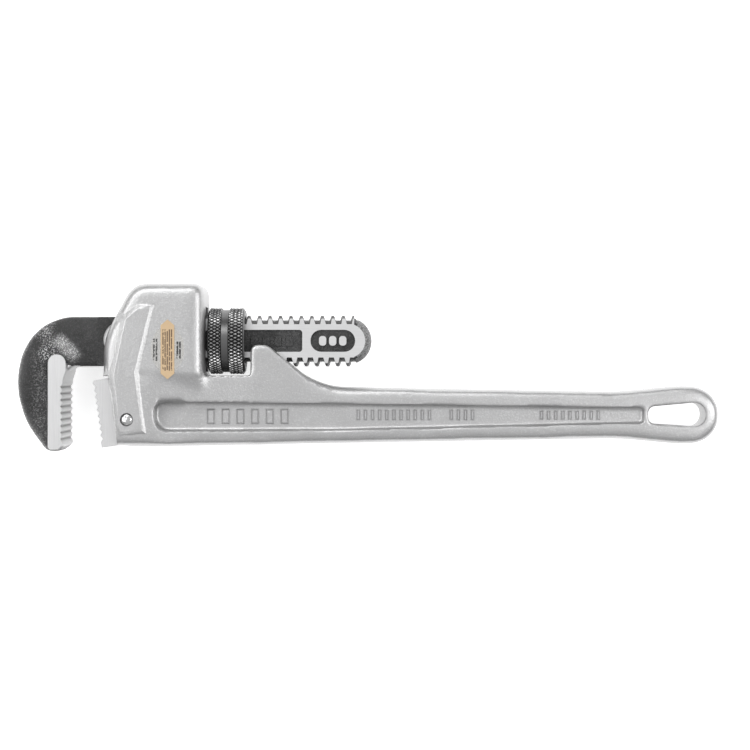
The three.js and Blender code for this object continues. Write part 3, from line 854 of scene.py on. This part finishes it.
# %% Film and panel
label_x, label_y = -25.3, -3.9
film_half_width, film_half_height = 7.2, 10.3
film_thickness = 0.12
face = housing_half + 0.02
film = lathe_z("label_film", label_x, label_y, [
    (0, face), (film_half_width, face), (film_half_width, face + 0.08),
    (film_half_width - 0.1, face + film_thickness), (0, face + film_thickness),
], 64)
open_all(film)
bpy.ops.transform.resize(value=(1, film_half_height / film_half_width, 1),
                         center_override=at(label_x, label_y))
close_up(film)
panel = plate("label_panel", [
    (label_x, label_y - 12.9), (label_x + 2.95, label_y - 10.4), (label_x + 2.95, label_y + 10.4),
    (label_x, label_y + 12.9), (label_x - 2.95, label_y + 10.4), (label_x - 2.95, label_y - 10.4),
], face, face + 0.2, rim=0.04, rim_steps=1)
finish_piece(film, "handle", "label")
finish_piece(panel, "handle", "label")
bpy.data.objects.remove(turning_centre)

# %% [markdown]
# ## Finishes
# Each metal has its own grain. Shader maths is easier to read as plain sums, so a small class
# wraps a node's output and gives it the usual operators. One method adds any other node.

# %% A wrapped socket and a finish
class Value:
    """An output of a shader node that can be used in plain Python maths."""

    def __init__(self, finish, link):
        self.finish = finish
        self.link = link

    def maths(self, operation, *others):
        inputs = {i: other for i, other in enumerate([self, *others])}
        return self.finish.node("ShaderNodeMath", {"operation": operation}, inputs)

    def __add__(self, other):
        return self.maths("ADD", other)

    __radd__ = __add__

    def __mul__(self, other):
        return self.maths("MULTIPLY", other)

    __rmul__ = __mul__

    def __sub__(self, other):
        return self.maths("SUBTRACT", other)

    def __rsub__(self, other):
        return self.finish.node("ShaderNodeMath", {"operation": "SUBTRACT"}, {0: other, 1: self})

    def __truediv__(self, other):
        return self.maths("DIVIDE", other)

    def __pow__(self, other):
        return self.maths("POWER", other)

    def ramp(self, low, high):
        """0 below low, 1 above high, and smooth between them."""
        return self.finish.node("ShaderNodeMapRange", {"interpolation_type": "SMOOTHSTEP"},
                                {"Value": self, "From Min": low, "From Max": high})


class Finish:
    """A material whose nodes are added one by one."""

    def __init__(self, name):
        self.material = bpy.data.materials.new(name)
        self.material.use_nodes = True
        self.tree = self.material.node_tree
        self.tree.nodes.clear()
        self.place = self.node("ShaderNodeTexCoord", output="Object")

    def node(self, kind, settings=None, inputs=None, output=0):
        made = self.tree.nodes.new(kind)
        for name, value in (settings or {}).items():
            setattr(made, name, value)
        for name, value in (inputs or {}).items():
            if isinstance(value, Value):
                self.tree.links.new(value.link, made.inputs[name])
            else:
                made.inputs[name].default_value = value
        return Value(self, made.outputs[output])

    def noise(self, size, detail=2.0, stretch=(1, 1, 1), rough=0.5):
        """Cloudy noise whose blotches are about size millimetres."""
        place = self.node("ShaderNodeMapping", {}, {"Vector": self.place, "Scale": stretch})
        return self.node("ShaderNodeTexNoise", {}, {
            "Vector": place, "Scale": 1 / (size * MM), "Detail": detail, "Roughness": rough})

    def mix(self, share, first, second):
        """A colour between two colours."""
        return self.node("ShaderNodeMix", {"data_type": "RGBA"}, {0: share, 6: first, 7: second}, 2)

    def parts(self):
        """The object's own x, y and z in millimetres from the middle of the shank."""
        split = self.node("ShaderNodeSeparateXYZ", {}, {0: self.place})
        outputs = split.link.node.outputs
        return [(Value(self, outputs[i]) - shank_middle[i]) * (1 / MM) for i in range(3)]

    def bump(self, height, depth, strength=1.0, under=None):
        """A normal that is roughened by a height of 0 to 1, depth millimetres deep."""
        inputs = {"Height": height, "Distance": depth * MM, "Strength": strength}
        if under is not None:
            inputs["Normal"] = under
        return self.node("ShaderNodeBump", {}, inputs)

    def done(self, **inputs):
        """Adds the Principled shader with the given sockets, and the output."""
        named = {name.replace("_", " "): value for name, value in inputs.items()}
        shader = self.node("ShaderNodeBsdfPrincipled", {}, named)
        surface = self.tree.nodes.new("ShaderNodeOutputMaterial").inputs["Surface"]
        self.tree.links.new(shader.link, surface)
        return self.material


def grey(level):
    return (level, level, level, 1)


def dress(piece, material):
    """Gives a whole piece one finish, and drops the empty slots that joining leaves."""
    piece.data.materials.clear()
    piece.data.materials.append(material)
    piece.data.polygons.foreach_set("material_index", [0] * len(piece.data.polygons))


# %% [markdown]
# ### Cast aluminium
# The casting is blasted, so it is satin with a very fine even grain. Three noises make it: one
# finer than a millimetre for the grain, one a little coarser for pits, and a broad one for the
# faint clouds in the skin.

# %% Cast aluminium
def cast_aluminium():
    f = Finish("cast aluminium")
    grain = f.noise(0.6, 3)
    pits = f.noise(1.3, 2)
    clouds = f.noise(14, 3)
    colour = f.mix(clouds.ramp(0.35, 0.65), grey(0.525), grey(0.55))
    colour = f.mix(grain.ramp(0.5, 0.7) * 0.45, colour, grey(0.74))
    roughness = 0.40 + (grain - 0.5) * 0.22
    normal = f.bump(pits, 0.12, 0.8, f.bump(grain, 0.07, 0.9))
    return f.done(Base_Color=colour, Metallic=0.85, Roughness=roughness, Normal=normal)


dress(casting, cast_aluminium())

# %% [markdown]
# ### Forged and milled steel
# The forging keeps its dark scale. The real one glints in fine points along its rounded rim, in
# the hollow beside the strip and at the strip's top corner. Broad soft lights give no such
# glints, so they are painted in as bright specks, with a paler painted highlight along the
# hollow and a faint one along the rim. Each place is a mask made of plain distances.
# The milled faces are pale, with fine tool marks, and are slots picked by where they lie.

# %% Forged scale and milled steel
def forged_scale():
    f = Finish("forged scale")
    grain = f.noise(0.7, 4, rough=0.65)
    fine = f.noise(0.35, 2)
    clouds = f.noise(9, 3)
    colour = f.mix(clouds.ramp(0.3, 0.7), grey(0.055), grey(0.085))
    x, y, z = f.parts()
    thick = z.maths("ABSOLUTE")
    # Masks of the places where glints and a highlight are painted into the colour: rim, hollow,
    # corner.
    rim = (1 - thick.ramp(9.0, 12.2)) * (1 - x.ramp(-80, -74))
    across = ((x + y + 73.5) * 0.707).maths("ABSOLUTE")
    along = ((x - y + 67.5) * 0.707).maths("ABSOLUTE")
    sweep = (1 - across.ramp(0.6, 4.4)) * (1 - along.ramp(3, 8.5))
    corner = 1 - (((x + 77.8) ** 2 + (y + 5.5) ** 2) ** 0.5).ramp(1.5, 5.5)
    beside = x.ramp(-87, -81) * (1 - y.ramp(-6, -1)) * (1 - x.ramp(-80, -76)) * 0.22
    sparks = f.noise(0.6, 3, rough=0.65).ramp(0.50, 0.62)
    share = (rim * 0.85 + sweep + corner * 0.8 + beside + 0.04).maths("MINIMUM", 1)
    # Painted glints: bright specks in those places, plus a paler painted highlight along hollow and
    # rim.
    painted_glints = (share * sparks + sweep * 0.32 + rim * 0.07).maths("MINIMUM", 1)
    colour = f.mix(painted_glints, colour, grey(0.78))
    roughness = 0.36 + (fine - 0.5) * 0.3
    normal = f.bump(grain, 0.42, 1.0, f.bump(fine, 0.16, 1.0))
    return f.done(Base_Color=colour, Metallic=0.75, Roughness=roughness, Normal=normal)


def milled(name, level, along, size=0.25):
    """Pale steel with fine marks that run along x or y."""
    f = Finish(name)
    stretch = (0.02, 1, 0.02) if along == "x" else (1, 0.02, 0.02)
    marks = f.noise(size, 3, stretch)
    clouds = f.noise(7, 2)
    colour = f.mix(marks, grey(level * 0.86), grey(level * 1.08))
    roughness = 0.36 + (clouds - 0.5) * 0.12
    return f.done(Base_Color=colour, Metallic=0.75, Roughness=roughness,
                  Normal=f.bump(marks, 0.01, 0.7))


def cut_teeth():
    """Pale crests, and roots darkened with painted shade."""
    f = Finish("cut teeth")
    x = f.parts()[0]
    marks = f.noise(0.5, 3, (1, 1, 0.05))
    # The roots of the teeth are darkened with painted shade; the crests stay pale steel.
    colour = f.mix(x.ramp(-72.1, -71.2), grey(0.13), grey(0.62))
    colour = f.mix(marks * 0.3, colour, grey(0.35))
    return f.done(Base_Color=colour, Metallic=0.75, Roughness=0.34 + marks * 0.1,
                  Normal=f.bump(marks, 0.02, 0.7))


def rough_nose():
    """The bare forged end of the shank."""
    f = Finish("forged nose")
    grain = f.noise(0.7, 3)
    colour = f.mix(grain.ramp(0.35, 0.65), grey(0.15), grey(0.36))
    return f.done(Base_Color=colour, Metallic=0.6, Roughness=0.6 + grain * 0.1,
                  Normal=f.bump(grain, 0.12, 0.9))


def paint(piece, material, test):
    """Gives the faces that pass the test a finish of their own."""
    piece.data.materials.append(material)
    count = pick(piece, "polygons", test)
    piece.active_material_index = len(piece.data.materials) - 1
    bpy.ops.object.material_slot_assign()
    bpy.ops.object.mode_set(mode="OBJECT")
    return count


dress(hook, forged_scale())
shank_flats = paint(hook, milled("milled shank", 0.80, "x"), lambda m, n: (
    (np.abs(n[:, 2]) > 0.97) & (m[:, 0] > -55)
    & (np.abs(m[:, 2]) > 5.35) & (np.abs(m[:, 2]) < 5.55)))
strip_faces = paint(hook, milled("milled strip", 0.76, "y"), lambda m, n: (
    (m[:, 0] < -67) & (np.abs(m[:, 2]) > 13.2)))
throat_faces = paint(hook, cut_teeth(), lambda m, n: (
    (m[:, 0] < -60) & (m[:, 0] > -72.6) & (m[:, 1] < -10.9) & (n[:, 0] > 0.08)
    & (np.abs(m[:, 2]) < 13.8)))
nose_faces = paint(hook, rough_nose(), lambda m, n: (
    (m[:, 0] > 56.0) & (np.abs(m[:, 2]) < 5.3) | (m[:, 0] > 60.5)))
print(nose_faces, "faces of the nose")
print(shank_flats, "milled shank faces,", strip_faces + throat_faces, "milled jaw faces")
dress(heel, milled("milled heel", 0.74, "y"))

# %% [markdown]
# ### Blackened nut, polished pin and springs
# The nut is blackened all over, and the tips of its knurl are pale, partly worn bright and
# partly a painted highlight, so its colour follows the distance from the shank's axis. The
# springs keep their CAD shapes and get dark steel.

# %% Nut, pin and springs
def blackened():
    f = Finish("blackened nut")
    _, y, z = f.parts()
    radius = (y * y + z * z) ** 0.5
    # Pale knurl tips: partly wear, partly a painted highlight on the peaks.
    worn_tips_and_highlight = radius.ramp(14.1, 14.5)
    fine = f.noise(0.5, 3)
    colour = f.mix(radius.ramp(13.8, 13.95), grey(0.15), grey(0.025))
    colour = f.mix(worn_tips_and_highlight, colour, grey(0.7))
    roughness = 0.34 - worn_tips_and_highlight * 0.10 + (fine - 0.5) * 0.2
    return f.done(Base_Color=colour, Metallic=0.85, Roughness=roughness,
                  Normal=f.bump(fine, 0.02, 0.5))


def polished():
    f = Finish("polished pin")
    dents = f.noise(1.5, 1)
    fine = f.noise(0.3, 2)
    colour = f.mix(fine, grey(0.55), grey(0.72))
    return f.done(Base_Color=colour, Metallic=1.0, Roughness=0.16 + fine * 0.1,
                  Normal=f.bump(dents, 0.25, 1.0))


def spring_steel(name, level):
    f = Finish(name)
    fine = f.noise(0.4, 3)
    return f.done(Base_Color=f.mix(fine, grey(level), grey(level * 1.4)), Metallic=0.9,
                  Roughness=0.3 + fine * 0.2, Normal=f.bump(fine, 0.01, 0.5))


dress(nut, blackened())
dress(pin, polished())
for node, level in (("flat_spring", 0.12), ("coil_spring", 0.16), ("spring_rivet", 0.3)):
    spring = frame["nodes"][node]
    dress(spring, spring_steel(node.replace("_", " "), level))

# %% [markdown]
# ### Clear film and printed panel
# The film is almost clear, so it only tints the metal under it. The print is dashes in rows: a
# row mask from the panel's own x, broken along y by a stretched noise.

# %% Film and print
def dashes(f, x, y, first, pitch, width, rows, low, high):
    """Print that is 1 on broken lines that run up the label."""
    row = ((x - first) / pitch).maths("FRACT")
    inside = x.maths("GREATER_THAN", first) * x.maths("LESS_THAN", first + pitch * rows)
    line = row.maths("LESS_THAN", width / pitch)
    words = f.noise(1.1, 1, (0.9, 1.0, 0.1)).maths("GREATER_THAN", 0.4)
    span = y.maths("GREATER_THAN", low) * y.maths("LESS_THAN", high)
    return line * inside * words * span


def printed_panel():
    f = Finish("printed panel")
    x, y, _ = f.parts()
    print_mask = dashes(f, x, y, label_x - 2.2, 0.92, 0.55, 5, label_y - 9.2, label_y + 8.6)
    paper = f.mix(f.noise(3, 2), (0.60, 0.43, 0.25, 1), (0.67, 0.49, 0.30, 1))
    return f.done(Base_Color=f.mix(print_mask * 0.9, paper, (0.10, 0.06, 0.04, 1)),
                  Roughness=0.45 + f.noise(0.8, 2) * 0.1)


def clear_film():
    f = Finish("clear film")
    x, y, _ = f.parts()
    left = dashes(f, x, y, label_x - 6.2, 1.1, 0.7, 2, label_y - 5.0, label_y + 4.6)
    right = dashes(f, x, y, label_x + 3.9, 1.1, 0.7, 2, label_y - 4.0, label_y + 3.4)
    print_mask = left + right
    tint = f.mix(print_mask, (0.80, 0.78, 0.72, 1), (0.06, 0.06, 0.06, 1))
    return f.done(Base_Color=tint, Roughness=0.3 + f.noise(0.8, 2) * 0.1,
                  Alpha=0.14 + print_mask * 0.8)


dress(panel, printed_panel())
dress(film, clear_film())
print("finishes:", sorted(m.name for m in bpy.data.materials if m.users))

# %% [markdown]
# ## Floor, light and camera
# The wrench lies on a white light table. The table glows a little, so that it stays white under
# the wrench's own soft shadow.

# %% Light table
bpy.ops.object.select_all(action="DESELECT")
bpy.ops.mesh.primitive_plane_add(size=4, location=(0, 0, -0.0005))
floor = bpy.context.object
floor.name = "light_table"
table = Finish("light table")
table_shade = table.mix(table.noise(60, 2), grey(0.92), grey(0.94))
floor.data.materials.append(table.done(Base_Color=table_shade, Roughness=0.9,
                                       Emission_Color=grey(1.0), Emission_Strength=0.6))

# %% [markdown]
# One broad soft light stands on the wrench's top side, and two smaller ones stand at its ends.
# The sky is bright overhead and dims towards the horizon. That gives rounded edges their darker
# outline, which an even sky would wash out.

# %% Studio lights
def soft_light(name, place, aim, size, power):
    """An area light that is turned towards the point it lights."""
    light = bpy.data.lights.new(name, "AREA")
    light.shape = "RECTANGLE"
    light.size, light.size_y = size
    light.energy = power
    lamp = bpy.data.objects.new(name, light)
    bpy.context.scene.collection.objects.link(lamp)
    lamp.location = place
    lamp.rotation_euler = (Vector(aim) - Vector(place)).to_track_quat("-Z", "Y").to_euler()
    return lamp


soft_light("top side", (-0.28, 0.62, 0.75), (-0.06, 0, 0.02), (0.95, 0.35), 3.7)
soft_light("left side", (-0.72, 0.1, 0.75), (-0.05, 0, 0.02), (0.35, 0.7), 2.0)
soft_light("right side", (0.72, 0.05, 0.75), (0.05, 0, 0.02), (0.35, 0.7), 3.0)


def fading_sky(horizon, overhead):
    """A white sky whose strength grows from the horizon to straight overhead."""
    world = bpy.data.worlds.new("studio")
    bpy.context.scene.world = world
    world.use_nodes = True
    sky = world.node_tree
    way = sky.nodes.new("ShaderNodeTexCoord")
    split = sky.nodes.new("ShaderNodeSeparateXYZ")
    height = sky.nodes.new("ShaderNodeMapRange")
    height.inputs["To Min"].default_value = horizon
    height.inputs["To Max"].default_value = overhead
    sky.links.new(way.outputs["Generated"], split.inputs[0])
    sky.links.new(split.outputs["Z"], height.inputs["Value"])
    sky.links.new(height.outputs["Result"], sky.nodes["Background"].inputs["Strength"])
    sky.nodes["Background"].inputs["Color"].default_value = (0.99, 0.99, 1.0, 1)


fading_sky(0.14, 0.68)

# %% [markdown]
# The camera looks straight down from a little over 0.8 m, with a long lens, so the sides of the
# wrench hardly show.

# %% Camera
camera_data = bpy.data.cameras.new("camera")
camera_data.lens = 90
camera_data.sensor_width = 36
camera = bpy.data.objects.new("camera", camera_data)
camera.location = at(64.1, -14.94, 825)
camera.rotation_euler = (0, 0, 0)
bpy.context.scene.collection.objects.link(camera)
bpy.context.scene.camera = camera
bpy.context.scene.view_settings.view_transform = "Standard"
print("camera at", [round(c, 3) for c in camera.location])

# %% [markdown]
# Last, the view layer is brought up to date. It has to stay inside the box of the CAD
# model.

# %% Finish
bpy.context.view_layer.update()
